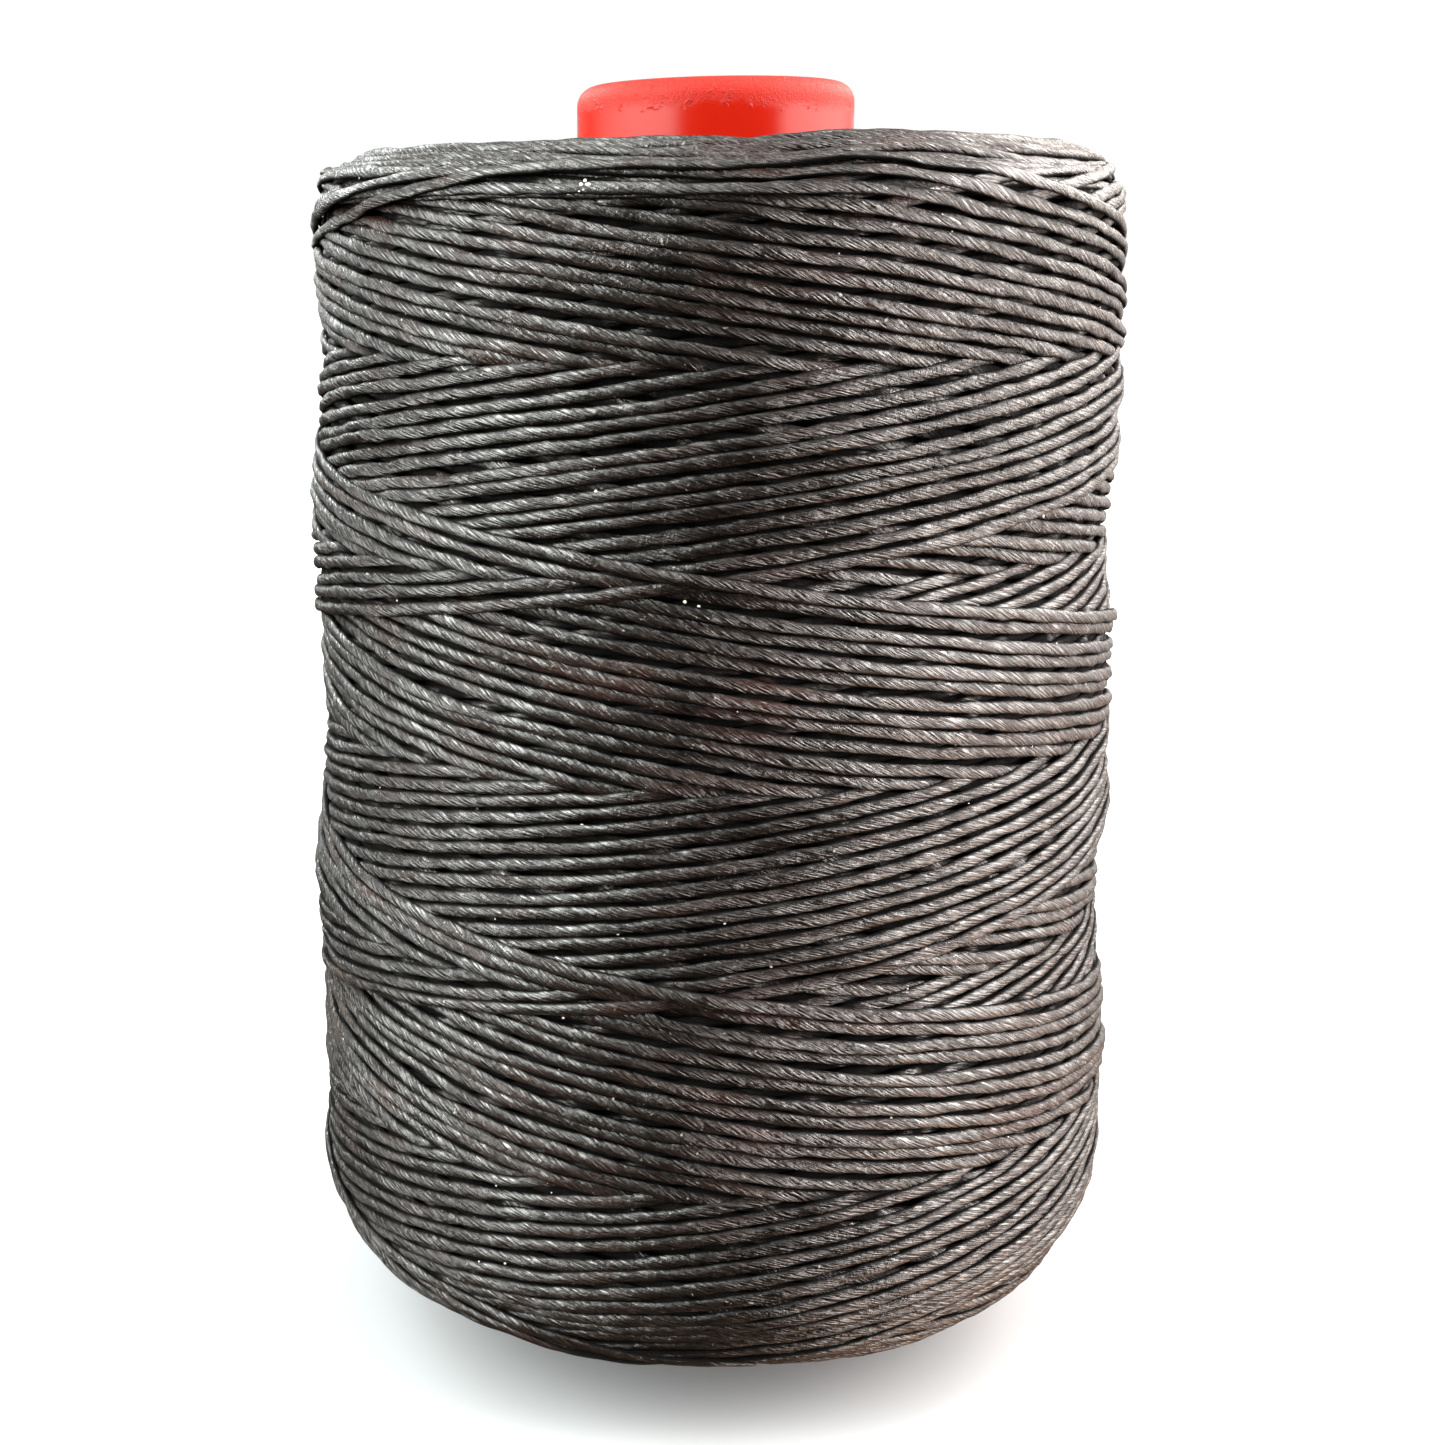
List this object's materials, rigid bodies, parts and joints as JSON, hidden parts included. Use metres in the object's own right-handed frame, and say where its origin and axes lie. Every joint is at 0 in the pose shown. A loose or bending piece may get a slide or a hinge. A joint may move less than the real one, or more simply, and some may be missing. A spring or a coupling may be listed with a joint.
{
  "type": "waxed thread spool",
  "caption": "Cross-wound cylindrical package of dark waxed braided thread on a straight red plastic tube that is open through and stands clear at each end.",
  "frame": {"origin": "middle of the tube's lower rim, on the surface that the spool stands on", "axes": "+Z along the tube's axis, up; X and Y are alike, and the spool is seen from -Y"},
  "size_m": [0.07, 0.07, 0.108],
  "materials": {
    "tube_plastic": "moulded polypropylene, glossy wall, grainy worn lip",
    "waxed_thread": "braided polyester, dark brown, satin with wax"
  },
  "bodies": {
    "root": {"core_tube": "tube_plastic", "anchor_turns": "waxed_thread", "inner_layers": "waxed_thread", "middle_layers": "waxed_thread", "outer_layers": "waxed_thread"}
  },
  "joints": []
}
